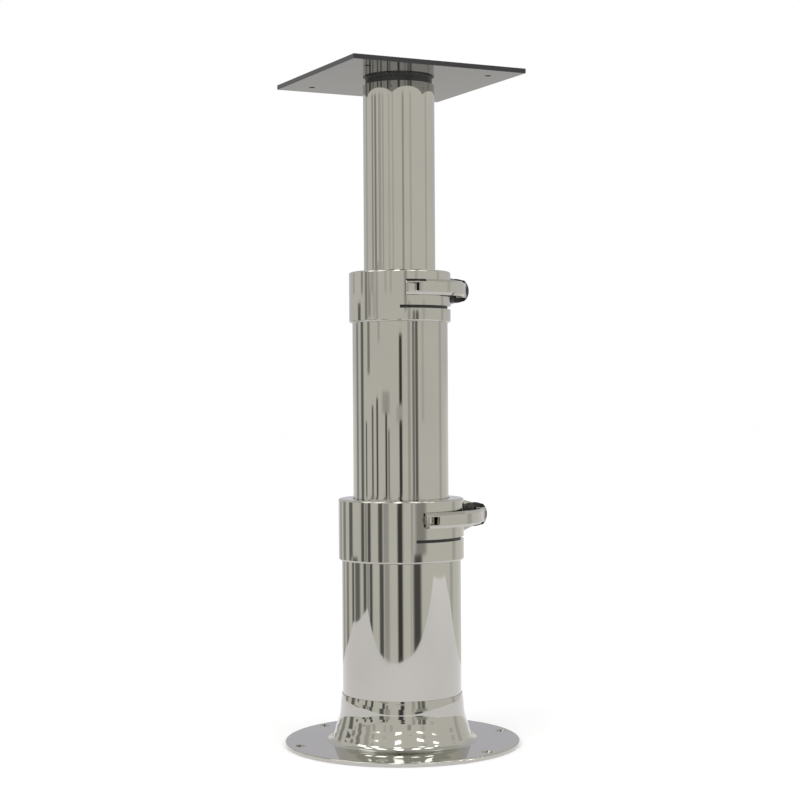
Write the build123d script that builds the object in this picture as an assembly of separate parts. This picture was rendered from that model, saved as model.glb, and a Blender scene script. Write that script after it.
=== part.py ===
from build123d import *
from dataclasses import dataclass
from math import atan2, cos, degrees, hypot, radians, sin, sqrt
import os

os.makedirs("parts", exist_ok=True)

# A telescopic boat table pedestal in three tubes, pulled right out and clamped.
# The origin is the centre of the foot on the floor, +Z is up, and the edges of
# the top plate lie along X and Y. Lengths are millimetres and angles are degrees.

# Tubes, each a step smaller than the one it slides in
OUTER_TUBE_D = 127.0
TUBE_STEP = 25.4
TUBE_WALL = 2.5

# Foot
FOOT_D = 250.0
FOOT_THICKNESS = 4.0
FOOT_EDGE_ROUND = 1.4
FOOT_BORE_LEDGE = 7.5
SOCKET_FLOOR = 5.0
SOCKET_TOP = 54.0
SOCKET_LIP = 0.8
CROWN_HEIGHT = 14.5
CROWN_MIDDLE_WALL = 1.86
CROWN_FOOT_WALL = 2.36
CONE_HEIGHT = 20.0
FLARE_MIDDLE_WALL = 3.24
CONE_TOP_WALL = 5.4
FLARE_FOOT_WALL = 12.5
FLARE_ROOT_ROUND = 8.0
FOOT_HOLES = 6
FOOT_HOLE_EDGE = 12.0
FOOT_HOLE_D = 7.0
FOOT_HOLE_ANGLE = -67.0
FOOT_SINK_D = 13.0
FOOT_SINK_DEPTH = 2.6

# Collars
LOWER_COLLAR_BOTTOM = 196.0
LOWER_COLLAR_HEIGHT = 65.0
UPPER_COLLAR_BOTTOM = 447.7
UPPER_COLLAR_HEIGHT = 53.8
COLLAR_SKIRT_WALL = 3.3
COLLAR_ROUND = 2.0
COLLAR_LIP = 3.0
LIP_CLEARANCE = 0.9
SLOT_HEIGHT = 3.2
SLOT_SWEEP_ANGLE = 200.0
LOWER_SLOT_RISE = 21.6
UPPER_SLOT_RISE = 13.7
LOWER_SLOT_START_ANGLE = -121.4
UPPER_SLOT_START_ANGLE = -128.0
TUBE_BELOW_SLOT = 0.5
LOWER_SLIT_ANGLE = 18.5
UPPER_SLIT_ANGLE = 11.5

# Clamp ears
SLIT_WIDTH = 3.6
EAR_NOSE_D = 25.0
EAR_ROUND = 1.6
EAR_ROOT_ROUND = 5.0
EAR_ROOT_DEPTH = 2.0
EAR_SEAT_CLEARANCE = 0.4
LOWER_STUD_STANDOFF = 12.2
UPPER_STUD_STANDOFF = 9.9
LOWER_NEAR_EAR = 32.0
UPPER_NEAR_EAR = 14.8
FAR_EAR = 14.0

# Clamp stud, nut and washers
STUD_D = 8.0
EAR_HOLE_CLEARANCE = 0.4
EYE_D = 11.2
EYE_THICKNESS = 6.4
PIVOT_PIN_D = 5.0
PIVOT_FIT = 0.05
NUT_ACROSS_FLATS = 13.0
NUT_HEX_HEIGHT = 6.5
NUT_DOME_D = 12.0
NUT_THREAD_DEPTH = 9.5
NUT_WASHER_D = 17.0
NUT_WASHER_THICKNESS = 1.6
SADDLE_D = 26.0
SADDLE_THICKNESS = 8.5
SADDLE_GROOVE_DEPTH = 6.1
SADDLE_EDGE_ROUND = 0.6

# Cam lever
CAM_D = 13.0
CAM_HEIGHT = 15.8
CAM_THROW = 0.8
CAM_GAP = 0.3
FORK_GAP = 0.2
BAR_THICKNESS = 6.5
BAR_HEIGHT = 16.0
BAR_BEVEL_ACROSS = 2.4
BAR_BEVEL_DOWN = 2.6
BAR_INNER_BEVEL = 0.7
BAR_SHOULDER = 10.5
NECK_THICKNESS = 4.8
NECK_HEIGHT = 12.6
TIP_GAP = 2.5
TIP_ROUND = 1.5
LOWER_TIP_ANGLE = -114.3
UPPER_TIP_ANGLE = -122.0
WINDOW_LENGTH = 12.0
WINDOW_HEIGHT = 8.5
WINDOW_ROUND = 1.0
WINDOW_BRIDGE = 2.4
LEVER_TRAVEL_ANGLE = 100.0
SWING_SHARES = (0.0, 0.5, 1.0)

# Guide bushes and slide rings
BUSH_SPLIT = 4.0
BUSH_END_PLAY = 0.15
SLIDE_RING_HEIGHT = 20.0
SLIDE_RING_FOOT = 3.0
STOP_GAP = 0.3
RING_SCREWS = 3
RING_SCREW_D = 4.0
RING_SCREW_HEAD_D = 7.0
RING_SCREW_HEAD_DEPTH = 1.8
RING_SCREW_SINK = 0.4

# Top plate and its spigot
PLATE_TOP = 710.0
PLATE_SIDE = 198.0
PLATE_THICKNESS = 5.0
PLATE_EDGE_BREAK = 0.4
PLATE_HOLE_INSET = 29.0
PLATE_HOLE_D = 6.6
NECK_LENGTH = 5.0
SPIGOT_LENGTH = 45.0
SPIGOT_CAP = 12.0
SPIGOT_WALL = 6.0
PLATE_SCREWS = 4
PLATE_SCREW_ANGLE = 45.0
PLATE_SCREW_INSET = 13.6
PLATE_SCREW_D = 6.0
PLATE_SCREW_SOCKET_D = 4.0
PLATE_SCREW_HEAD_D = 12.0
PLATE_SCREW_HEAD_DEPTH = 3.3
PLATE_SCREW_LENGTH = 14.0

# Grub screws of the collars and of the spigot, on the far side
GRUB_D = 5.0
GRUB_SOCKET_D = 2.5
GRUB_SOCKET_DEPTH = 1.6
GRUB_ANGLES = (-10.0, 110.0)
SPIGOT_GRUB_DROP = 22.0
SPIGOT_GRUB_BITE = 3.5

# Clearances
RUNNING_FIT = 0.08
ASSEMBLY_FIT = 0.05
THREAD_FIT = 0.02
CUT_OVER = 2.0

MIDDLE_TUBE_D = OUTER_TUBE_D - TUBE_STEP
INNER_TUBE_D = MIDDLE_TUBE_D - TUBE_STEP
OUTER_R = OUTER_TUBE_D / 2
MIDDLE_R = MIDDLE_TUBE_D / 2
INNER_R = INNER_TUBE_D / 2
FOOT_BORE_D = OUTER_TUBE_D - 2 * FOOT_BORE_LEDGE
FOOT_HOLE_PCD = FOOT_D - 2 * FOOT_HOLE_EDGE
PLATE_HOLE_SPACING = PLATE_SIDE - 2 * PLATE_HOLE_INSET
SPIGOT_R = INNER_R - TUBE_WALL - ASSEMBLY_FIT
PLATE_BOTTOM = PLATE_TOP - PLATE_THICKNESS
INNER_TUBE_TOP = PLATE_BOTTOM - NECK_LENGTH


@dataclass(frozen=True)
class Stage:
    """A tube with the collar on its end, and the next tube that slides in it.

    Angles are measured from the slit between the ears, anticlockwise from above.
    """

    tube_r: float
    sliding_r: float
    bottom: float
    height: float
    slot_rise: float
    slot_start: float
    stud_standoff: float
    near_ear: float
    tip_angle: float
    turn: float

    @property
    def collar_r(self):
        return self.tube_r + COLLAR_SKIRT_WALL

    @property
    def top(self):
        return self.bottom + self.height

    @property
    def slot_bottom(self):
        return self.bottom + self.slot_rise

    @property
    def slot_top(self):
        return self.slot_bottom + SLOT_HEIGHT

    @property
    def tube_top(self):
        return self.slot_bottom - TUBE_BELOW_SLOT

    @property
    def bush_bottom(self):
        return self.tube_top + BUSH_END_PLAY

    @property
    def lip_bottom(self):
        return self.top - COLLAR_LIP

    @property
    def lip_r(self):
        return self.sliding_r + LIP_CLEARANCE

    @property
    def bore_r(self):
        return self.tube_r + ASSEMBLY_FIT

    @property
    def bush_r(self):
        return self.bore_r - RUNNING_FIT

    @property
    def stud_z(self):
        return (self.slot_top + self.top) / 2

    @property
    def stud_x(self):
        return self.collar_r + self.stud_standoff

    @property
    def saddle_face(self):
        return self.near_ear + SADDLE_THICKNESS

    @property
    def cam_reach(self):
        """Distance of the cam's own centre from the slit, along the stud."""
        return self.saddle_face - SADDLE_GROOVE_DEPTH + CAM_GAP + CAM_D / 2

    @property
    def pin_reach(self):
        return self.cam_reach + CAM_THROW

    @property
    def ring_top(self):
        """The slide ring of the next tube meets the bush when pulled right out."""
        return self.bush_bottom - STOP_GAP


LOWER = Stage(OUTER_R, MIDDLE_R, LOWER_COLLAR_BOTTOM, LOWER_COLLAR_HEIGHT,
              LOWER_SLOT_RISE, LOWER_SLOT_START_ANGLE, LOWER_STUD_STANDOFF,
              LOWER_NEAR_EAR, LOWER_TIP_ANGLE, LOWER_SLIT_ANGLE)
UPPER = Stage(MIDDLE_R, INNER_R, UPPER_COLLAR_BOTTOM, UPPER_COLLAR_HEIGHT,
              UPPER_SLOT_RISE, UPPER_SLOT_START_ANGLE, UPPER_STUD_STANDOFF,
              UPPER_NEAR_EAR, UPPER_TIP_ANGLE, UPPER_SLIT_ANGLE)


def drum(radius, low, high):
    """An upright round bar on the Z axis between two heights."""
    return Pos(0, 0, (low + high) / 2) * Cylinder(radius, high - low)


def pipe(outer, inner, low, high):
    """An upright tube on the Z axis between two heights."""
    return drum(outer, low, high) - drum(inner, low - CUT_OVER, high + CUT_OVER)


def along_y(radius, start, end, x, z):
    """A round bar parallel to Y, at x and z, from start to end."""
    return Pos(x, (start + end) / 2, z) * Rot(90, 0, 0) * Cylinder(radius, abs(end - start))


def along_x(radius, start, end, z):
    """A round bar on the X axis at height z, from start to end."""
    return Pos((start + end) / 2, 0, z) * Rot(0, 90, 0) * Cylinder(radius, abs(end - start))


def group(shapes):
    """Separate solids of one node."""
    return Compound([solid for shape in shapes for solid in shape.solids()])


# Foot


def foot_outline():
    """Half section of the foot: flat disc, cone, hollow flare and a crowned lip."""
    root_r = OUTER_R + FLARE_FOOT_WALL
    cone_z = FOOT_THICKNESS + CONE_HEIGHT
    crown_z = SOCKET_TOP - CROWN_HEIGHT
    cone_top = (OUTER_R + CONE_TOP_WALL, cone_z)
    crown_foot = (OUTER_R + CROWN_FOOT_WALL, crown_z)
    crown_top = (OUTER_R + SOCKET_LIP, SOCKET_TOP)
    edge = [
        Polyline((FOOT_BORE_D / 2, 0), (FOOT_D / 2, 0), (FOOT_D / 2, FOOT_THICKNESS),
                 (root_r, FOOT_THICKNESS), cone_top),
        ThreePointArc(cone_top, (OUTER_R + FLARE_MIDDLE_WALL, (cone_z + crown_z) / 2),
                      crown_foot),
        ThreePointArc(crown_foot, (OUTER_R + CROWN_MIDDLE_WALL, (crown_z + SOCKET_TOP) / 2),
                      crown_top),
        Polyline(crown_top, (OUTER_R + ASSEMBLY_FIT, SOCKET_TOP),
                 (OUTER_R + ASSEMBLY_FIT, SOCKET_FLOOR),
                 (FOOT_BORE_D / 2, SOCKET_FLOOR), (FOOT_BORE_D / 2, 0)),
    ]
    section = make_face(edge)
    root = section.vertices().sort_by_distance((root_r, FOOT_THICKNESS))[0]
    section = fillet(root, FLARE_ROOT_ROUND)
    rim = section.vertices().sort_by_distance((FOOT_D / 2, FOOT_THICKNESS))[0]
    return fillet(rim, FOOT_EDGE_ROUND)


def base_flange():
    """Cast foot with a countersunk ring of floor screw holes."""
    body = revolve(Plane.XZ * foot_outline(), Axis.Z)
    hole = drum(FOOT_HOLE_D / 2, -CUT_OVER, FOOT_THICKNESS + CUT_OVER)
    sink = Cone(FOOT_HOLE_D / 2, FOOT_SINK_D / 2, FOOT_SINK_DEPTH)
    hole += Pos(0, 0, FOOT_THICKNESS - FOOT_SINK_DEPTH / 2) * sink
    for step in range(FOOT_HOLES):
        angle = FOOT_HOLE_ANGLE + step * 360 / FOOT_HOLES
        body -= Rot(0, 0, angle) * Pos(FOOT_HOLE_PCD / 2, 0, 0) * hole
    return body


# Clamp collars, drawn with the slit along +X and the cam on the -Y side


def ear_block(stage):
    """Both ears in one block that narrows from the band to a round nose."""
    root_x = sqrt(stage.collar_r**2 - stage.near_ear**2) - EAR_ROOT_DEPTH
    root = Polyline((root_x, stage.slot_top), (root_x, stage.top - COLLAR_ROUND))
    nose = Pos(stage.stud_x, stage.stud_z) * Circle(EAR_NOSE_D / 2)
    outline = make_hull(root.edges() + nose.edges())
    return extrude(Plane.XZ.offset(-FAR_EAR) * outline, FAR_EAR + stage.near_ear)


def eared_ring(stage):
    """Solid ring with its ears, blended into it and rounded at their ends."""
    body = drum(stage.collar_r, stage.bottom, stage.top)
    body = fillet(body.edges().filter_by(GeomType.CIRCLE), COLLAR_ROUND)
    body += ear_block(stage)
    corners = [e for e in body.edges().filter_by(Axis.Z) if (e @ 0.5).X > stage.tube_r / 2]
    body = fillet(corners, EAR_ROOT_ROUND)
    rims = []
    for end in (-stage.near_ear, FAR_EAR):
        face = body.faces().filter_by(Axis.Y).sort_by(lambda f: abs(f.center().Y - end))[0]
        rims += face.edges()
    return fillet(rims, EAR_ROUND)


def collar(stage):
    """Slotted collar: skirt on its own tube, clamp band over the bush with a lip on
    top, two ears with a flat seat for each washer."""
    body = eared_ring(stage)
    body -= drum(stage.bore_r, stage.bottom - CUT_OVER, stage.lip_bottom)
    body -= drum(stage.lip_r, stage.bottom, stage.top + CUT_OVER)
    reach = stage.stud_x + EAR_NOSE_D
    width = reach - stage.lip_r + CUT_OVER
    slot = Pos(reach - width / 2, (stage.slot_bottom + stage.slot_top) / 2)
    slot = revolve(Plane.XZ * slot * Rectangle(width, SLOT_HEIGHT), Axis.Z, SLOT_SWEEP_ANGLE)
    body -= Rot(0, 0, stage.slot_start) * slot
    slit_height = stage.top - stage.slot_top + 2 * CUT_OVER
    body -= Pos(reach - width / 2, 0, stage.slot_top + slit_height / 2 - CUT_OVER) * Box(
        width, SLIT_WIDTH, slit_height)
    hole_r = STUD_D / 2 + EAR_HOLE_CLEARANCE
    cuts = [
        (hole_r, -stage.near_ear - CUT_OVER, FAR_EAR + CUT_OVER),
        (SADDLE_D / 2 + EAR_SEAT_CLEARANCE, -stage.saddle_face, -stage.near_ear),
        (NUT_WASHER_D / 2 + EAR_SEAT_CLEARANCE, FAR_EAR, FAR_EAR + NUT_THREAD_DEPTH),
    ]
    for radius, start, end in cuts:
        body -= along_y(radius, start, end, stage.stud_x, stage.stud_z)
    for angle in GRUB_ANGLES:
        hole = along_x(GRUB_D / 2 + THREAD_FIT, stage.tube_r - CUT_OVER,
                       stage.collar_r + CUT_OVER, grub_z(stage))
        body -= Rot(0, 0, angle) * hole
    return body


def grub_z(stage):
    """Height of the grub screws, midway up the part of the skirt on the tube."""
    return (stage.bottom + stage.tube_top) / 2


def grub(start, end, z):
    """Headless screw lying along X, with a hexagon socket in its outer end."""
    body = along_x(GRUB_D / 2, start, end, z)
    socket = extrude(RegularPolygon(GRUB_SOCKET_D / 2, 6), GRUB_SOCKET_DEPTH)
    return body - Pos(end - GRUB_SOCKET_DEPTH, 0, z) * Rot(0, 90, 0) * socket


def collar_grubs(stage):
    """Grub screws that hold the collar on its tube, a little below its surface."""
    flush = stage.collar_r - ASSEMBLY_FIT - GRUB_D**2 / (8 * stage.collar_r)
    screw = grub(stage.tube_r, flush, grub_z(stage))
    return group(Rot(0, 0, angle) * screw for angle in GRUB_ANGLES)


def clamp_stud(stage):
    """Eye bolt through both ears, flattened where it enters the lever's fork."""
    nut_seat = FAR_EAR + NUT_WASHER_THICKNESS
    end = nut_seat + NUT_THREAD_DEPTH - ASSEMBLY_FIT
    shank = along_y(STUD_D / 2, -stage.pin_reach, end, stage.stud_x, stage.stud_z)
    flat_from = stage.saddle_face - SADDLE_GROOVE_DEPTH - CAM_GAP
    flat_length = stage.pin_reach - flat_from + EYE_D
    for side in (-1, 1):
        off = side * (EYE_THICKNESS + STUD_D) / 2
        shank -= Pos(stage.stud_x, -flat_from - flat_length / 2, stage.stud_z + off) * Box(
            2 * STUD_D, flat_length, STUD_D)
    at_pin = Pos(stage.stud_x, -stage.pin_reach, stage.stud_z)
    body = shank + at_pin * Cylinder(EYE_D / 2, EYE_THICKNESS)
    return body - at_pin * Cylinder(PIVOT_PIN_D / 2 + PIVOT_FIT, 2 * EYE_THICKNESS)


def saddle_washer(stage):
    """Thick round thrust washer with an upright groove, as wide as the cam's travel."""
    body = along_y(SADDLE_D / 2, -stage.saddle_face, -stage.near_ear,
                   stage.stud_x, stage.stud_z)
    body = fillet(body.edges().filter_by(GeomType.CIRCLE), SADDLE_EDGE_ROUND)
    at_pin = Pos(stage.stud_x, -stage.pin_reach, stage.stud_z)
    for share in SWING_SHARES:
        cam = Rot(0, 0, share * LEVER_TRAVEL_ANGLE) * Pos(0, CAM_THROW, 0)
        body -= at_pin * cam * Cylinder(CAM_D / 2 + CAM_GAP, SADDLE_D + CUT_OVER)
    return body - along_y(STUD_D / 2 + EAR_HOLE_CLEARANCE, -stage.saddle_face - CUT_OVER,
                          -stage.near_ear + CUT_OVER, stage.stud_x, stage.stud_z)


def nut_washer(stage):
    """Plain washer under the dome nut."""
    end = FAR_EAR + NUT_WASHER_THICKNESS
    body = along_y(NUT_WASHER_D / 2, FAR_EAR, end, stage.stud_x, stage.stud_z)
    return body - along_y(STUD_D / 2 + EAR_HOLE_CLEARANCE, FAR_EAR - CUT_OVER,
                          end + CUT_OVER, stage.stud_x, stage.stud_z)


def dome_nut(stage):
    """Dome nut on the plain end of the stud."""
    seat = FAR_EAR + NUT_WASHER_THICKNESS
    hexagon = RegularPolygon(NUT_ACROSS_FLATS / 2, 6, major_radius=False)
    body = extrude(hexagon, NUT_HEX_HEIGHT) + Pos(0, 0, NUT_HEX_HEIGHT) * Sphere(NUT_DOME_D / 2)
    body -= drum(STUD_D / 2 + THREAD_FIT, -CUT_OVER, NUT_THREAD_DEPTH)
    return Pos(stage.stud_x, seat, stage.stud_z) * Rot(-90, 0, 0) * body


# Cam lever


@dataclass(frozen=True)
class LeverArc:
    """Middle line of the handle: an arc that leaves the pin and ends parallel to
    the collar at the tip.

    The centre is on the line from the collar's axis through the tip.
    """

    x: float
    y: float
    radius: float
    tip: float
    pin: float

    def at(self, angle):
        """Place on the middle line at an angle, turned with it."""
        spot = Pos(self.x + self.radius * cos(radians(angle)),
                   self.y + self.radius * sin(radians(angle)), 0)
        return spot * Rot(0, 0, angle)

    def angle_of(self, length):
        """Angle that a length of the middle line spans."""
        return degrees(length / self.radius)


def lever_arc(stage):
    """Works out the arc from the pin and the tip."""
    tip_r = stage.collar_r + TIP_GAP + BAR_THICKNESS / 2
    ux = cos(radians(stage.tip_angle))
    uy = sin(radians(stage.tip_angle))
    pin_x = stage.stud_x
    pin_y = -stage.pin_reach
    gap = hypot(pin_x - tip_r * ux, pin_y - tip_r * uy)
    radius = gap**2 / (2 * (tip_r - pin_x * ux - pin_y * uy))
    x = (tip_r - radius) * ux
    y = (tip_r - radius) * uy
    return LeverArc(x, y, radius, stage.tip_angle, degrees(atan2(pin_y - y, pin_x - x)))


def bar_section(thickness, height, outer_across, outer_down, inner):
    """Section of the handle: bold bevels outside, small ones on the ring's side."""
    half = thickness / 2
    top = height / 2
    return Polyline(
        (-half, top - inner), (-half + inner, top), (half - outer_across, top),
        (half, top - outer_down), (half, outer_down - top), (half - outer_across, -top),
        (-half + inner, -top), (-half, inner - top), close=True)


def swept_bar(arc, outline, start, end):
    """A section carried round the arc between two angles."""
    face = Plane.XZ * Pos(arc.radius, 0) * make_face(outline)
    bar = revolve(face, Axis.Z, end - start)
    return Pos(arc.x, arc.y, 0) * Rot(0, 0, start) * bar


def lever(stage):
    """Forked cam lever: eccentric barrel, narrow neck and a bevelled curved handle."""
    arc = lever_arc(stage)
    shoulder = arc.pin - arc.angle_of(BAR_SHOULDER)
    outline = bar_section(BAR_THICKNESS, BAR_HEIGHT, BAR_BEVEL_ACROSS, BAR_BEVEL_DOWN,
                          BAR_INNER_BEVEL)
    handle = swept_bar(arc, outline, arc.tip, shoulder)
    tip_edges = handle.edges().filter_by(Axis.Z).sort_by_distance(
        arc.at(arc.tip).position)[:2]
    handle = fillet(tip_edges, TIP_ROUND)
    middle = arc.tip + arc.angle_of(WINDOW_BRIDGE + WINDOW_LENGTH / 2)
    window = Box(2 * BAR_THICKNESS, WINDOW_LENGTH, WINDOW_HEIGHT)
    window = fillet(window.edges().filter_by(Axis.X), WINDOW_ROUND)
    handle -= arc.at(middle) * window
    neck = bar_section(NECK_THICKNESS, NECK_HEIGHT, BAR_INNER_BEVEL, BAR_INNER_BEVEL,
                       BAR_INNER_BEVEL)
    body = handle + swept_bar(arc, neck, shoulder - arc.angle_of(CUT_OVER), arc.pin)
    at_pin = Pos(stage.stud_x, -stage.pin_reach, 0)
    body += at_pin * Pos(0, CAM_THROW, 0) * Cylinder(CAM_D / 2, CAM_HEIGHT)
    body -= at_pin * fork_space(stage)
    body -= at_pin * Cylinder(PIVOT_PIN_D / 2 + THREAD_FIT, 2 * CAM_HEIGHT)
    return Pos(0, 0, stage.stud_z) * body


def fork_space(stage):
    """Room in the fork for the eye, and for the stud as the lever swings open."""
    side = STUD_D / 2 + CAM_GAP
    reach = CAM_D
    spots = [Circle(side)]
    for share in SWING_SHARES:
        angle = radians(90 - share * LEVER_TRAVEL_ANGLE)
        spots.append(Pos(reach * cos(angle), reach * sin(angle)) * Circle(side))
    room = make_hull([edge for spot in spots for edge in spot.edges()])
    room += Circle(EYE_D / 2 + CAM_GAP)
    height = EYE_THICKNESS + 2 * FORK_GAP
    return Pos(0, 0, -height / 2) * extrude(room, height)


def pivot_pin(stage):
    """Upright pin through the fork and the eye."""
    pin = Pos(stage.stud_x, -stage.pin_reach, stage.stud_z)
    return pin * Cylinder(PIVOT_PIN_D / 2, CAM_HEIGHT)


# Guide bushes and slide rings


def guide_bush(stage):
    """Split plastic bush in the clamp band, on the end of the collar's own tube and
    a running fit on the sliding one."""
    body = pipe(stage.bush_r, stage.sliding_r + RUNNING_FIT, stage.bush_bottom,
                stage.lip_bottom - BUSH_END_PLAY)
    height = stage.height
    return body - Pos(stage.bush_r, 0, stage.bottom + height / 2) * Box(
        stage.bush_r, BUSH_SPLIT, height)


def ring_screw_z(stage):
    """Height of the slide ring's screws."""
    return stage.ring_top - (SLIDE_RING_HEIGHT - SLIDE_RING_FOOT) / 2


def ring_screw(stage, fit):
    """Countersunk screw through the slide ring and the tube's wall, along X."""
    head = stage.tube_r - TUBE_WALL - RUNNING_FIT - RING_SCREW_SINK
    z = ring_screw_z(stage)
    body = along_x(RING_SCREW_D / 2 + fit, stage.sliding_r - TUBE_WALL - fit, head, z)
    cone = Cone(RING_SCREW_D / 2 + fit, RING_SCREW_HEAD_D / 2 + fit, RING_SCREW_HEAD_DEPTH)
    return body + Pos(head - RING_SCREW_HEAD_DEPTH / 2, 0, z) * Rot(0, 90, 0) * cone


def around(stage, shape):
    """Copies of a ring screw or its hole, evenly round the tube."""
    return [Rot(0, 0, step * 360 / RING_SCREWS) * shape for step in range(RING_SCREWS)]


def slide_ring(stage):
    """Plastic ring on the sliding tube's foot, which stops it under the bush."""
    bottom = stage.ring_top - SLIDE_RING_HEIGHT
    outer = stage.tube_r - TUBE_WALL - RUNNING_FIT
    body = pipe(outer, stage.sliding_r - TUBE_WALL, bottom, stage.ring_top)
    body -= drum(stage.sliding_r + ASSEMBLY_FIT, bottom + SLIDE_RING_FOOT,
                 stage.ring_top + CUT_OVER)
    head = outer - RING_SCREW_SINK
    mouth = along_x(RING_SCREW_HEAD_D / 2 + THREAD_FIT, head, outer + CUT_OVER,
                    ring_screw_z(stage))
    for hole in around(stage, ring_screw(stage, THREAD_FIT) + mouth):
        body -= hole
    return body


def sliding_tube(stage, top):
    """Tube that slides in a stage, from its slide ring's foot up to top."""
    bottom = stage.ring_top - SLIDE_RING_HEIGHT + SLIDE_RING_FOOT
    body = pipe(stage.sliding_r, stage.sliding_r - TUBE_WALL, bottom, top)
    for hole in around(stage, ring_screw(stage, THREAD_FIT)):
        body -= hole
    return body


# Top plate and spigot


def plate_screw(fit):
    """Countersunk screw, flush with the top of the plate."""
    low = PLATE_TOP - PLATE_SCREW_LENGTH
    cone = Cone(PLATE_SCREW_D / 2 + fit, PLATE_SCREW_HEAD_D / 2 + fit,
                PLATE_SCREW_HEAD_DEPTH)
    return drum(PLATE_SCREW_D / 2 + fit, low, PLATE_TOP) + Pos(
        0, 0, PLATE_TOP - PLATE_SCREW_HEAD_DEPTH / 2) * cone


def plate_screw_places():
    """Places of the screws from the plate into the spigot."""
    place = Pos(SPIGOT_R - PLATE_SCREW_INSET, 0, 0)
    return [Rot(0, 0, PLATE_SCREW_ANGLE + step * 360 / PLATE_SCREWS) * place
            for step in range(PLATE_SCREWS)]


def plate_screws():
    """The four screws with a hexagon socket each."""
    socket = extrude(RegularPolygon(PLATE_SCREW_SOCKET_D / 2, 6), PLATE_SCREW_HEAD_DEPTH)
    screw = plate_screw(0) - Pos(0, 0, PLATE_TOP - PLATE_SCREW_HEAD_DEPTH / 2) * socket
    return group(place * screw for place in plate_screw_places())


def top_plate():
    """Square plate with a table screw hole near each corner."""
    body = Pos(0, 0, (PLATE_TOP + PLATE_BOTTOM) / 2) * Box(
        PLATE_SIDE, PLATE_SIDE, PLATE_THICKNESS)
    body = chamfer(body.edges(), PLATE_EDGE_BREAK)
    hole = drum(PLATE_HOLE_D / 2, PLATE_BOTTOM - CUT_OVER, PLATE_TOP + CUT_OVER)
    for place in GridLocations(PLATE_HOLE_SPACING, PLATE_HOLE_SPACING, 2, 2):
        body -= place * hole
    for place in plate_screw_places():
        body -= place * plate_screw(THREAD_FIT)
    return body


def spigot_grub_z():
    """Height of the grub screws that hold the inner tube on the spigot."""
    return INNER_TUBE_TOP - SPIGOT_GRUB_DROP


def spigot_grub(fit):
    """Grub screw through the inner tube into the spigot, along X."""
    start = INNER_R - TUBE_WALL - SPIGOT_GRUB_BITE
    flush = INNER_R - ASSEMBLY_FIT - GRUB_D**2 / (8 * INNER_R)
    if fit:
        return along_x(GRUB_D / 2 + fit, start - fit, INNER_R + CUT_OVER, spigot_grub_z())
    return grub(start, flush, spigot_grub_z())


def top_spigot():
    """Turned plug in the top of the inner tube, hollow from below, with a short
    neck up to the plate."""
    low = PLATE_BOTTOM - SPIGOT_LENGTH
    body = drum(SPIGOT_R, low, PLATE_BOTTOM)
    body -= drum(SPIGOT_R - SPIGOT_WALL, low - CUT_OVER, PLATE_BOTTOM - SPIGOT_CAP)
    for place in plate_screw_places():
        body -= place * plate_screw(THREAD_FIT)
    for angle in GRUB_ANGLES:
        body -= Rot(0, 0, angle) * spigot_grub(THREAD_FIT)
    return body


def inner_tube():
    """Top tube, drilled for the spigot's grub screws."""
    body = sliding_tube(UPPER, INNER_TUBE_TOP)
    for angle in GRUB_ANGLES:
        body -= Rot(0, 0, angle) * spigot_grub(THREAD_FIT)
    return body


def spigot_grubs():
    """The grub screws in the top of the inner tube."""
    return group(Rot(0, 0, angle) * spigot_grub(0) for angle in GRUB_ANGLES)


def turned(stage, shape):
    """Turns a clamp piece from the slit's own direction to the collar's."""
    return Rot(0, 0, stage.turn) * shape


parts = {
    "base_flange": base_flange(),
    "outer_tube": pipe(OUTER_R, OUTER_R - TUBE_WALL, SOCKET_FLOOR, LOWER.tube_top),
    "middle_tube": sliding_tube(LOWER, UPPER.tube_top),
    "inner_tube": inner_tube(),
    "top_spigot": top_spigot(),
    "spigot_grub_screws": spigot_grubs(),
    "top_plate": top_plate(),
    "plate_screws": plate_screws(),
}
for name, ring_name, stage in (("lower", "middle", LOWER), ("upper", "inner", UPPER)):
    parts[name + "_collar"] = turned(stage, collar(stage))
    parts[name + "_collar_grub_screws"] = turned(stage, collar_grubs(stage))
    parts[name + "_clamp_stud"] = turned(stage, clamp_stud(stage))
    parts[name + "_saddle_washer"] = turned(stage, saddle_washer(stage))
    parts[name + "_nut_washer"] = turned(stage, nut_washer(stage))
    parts[name + "_dome_nut"] = turned(stage, dome_nut(stage))
    parts[name + "_cam_lever"] = turned(stage, lever(stage))
    parts[name + "_pivot_pin"] = turned(stage, pivot_pin(stage))
    parts[name + "_guide_bush"] = turned(stage, guide_bush(stage))
    parts[ring_name + "_slide_ring"] = slide_ring(stage)
    parts[ring_name + "_slide_ring_screws"] = group(around(stage, ring_screw(stage, 0)))

for name, shape in parts.items():
    export_step(shape, f"parts/{name}.step")
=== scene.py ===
import logging
import math
from dataclasses import dataclass
from enum import Enum
from typing import Any, Union

import bmesh
import bpy
import numpy as np
from mathutils import Matrix, Vector


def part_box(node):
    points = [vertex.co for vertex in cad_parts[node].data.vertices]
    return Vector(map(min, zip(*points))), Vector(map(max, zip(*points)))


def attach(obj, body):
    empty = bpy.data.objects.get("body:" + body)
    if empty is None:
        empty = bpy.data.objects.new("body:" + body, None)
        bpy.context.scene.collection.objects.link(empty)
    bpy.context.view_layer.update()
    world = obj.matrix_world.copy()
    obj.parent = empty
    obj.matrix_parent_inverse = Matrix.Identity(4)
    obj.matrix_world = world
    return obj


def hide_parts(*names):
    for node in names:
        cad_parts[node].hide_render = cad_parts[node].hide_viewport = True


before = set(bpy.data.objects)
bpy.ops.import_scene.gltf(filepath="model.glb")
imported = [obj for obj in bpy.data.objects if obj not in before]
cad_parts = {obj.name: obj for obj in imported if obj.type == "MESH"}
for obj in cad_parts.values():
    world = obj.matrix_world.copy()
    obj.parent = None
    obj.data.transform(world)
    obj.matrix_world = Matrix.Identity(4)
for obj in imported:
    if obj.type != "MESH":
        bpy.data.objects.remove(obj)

log = logging.getLogger("pedestal")
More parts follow.
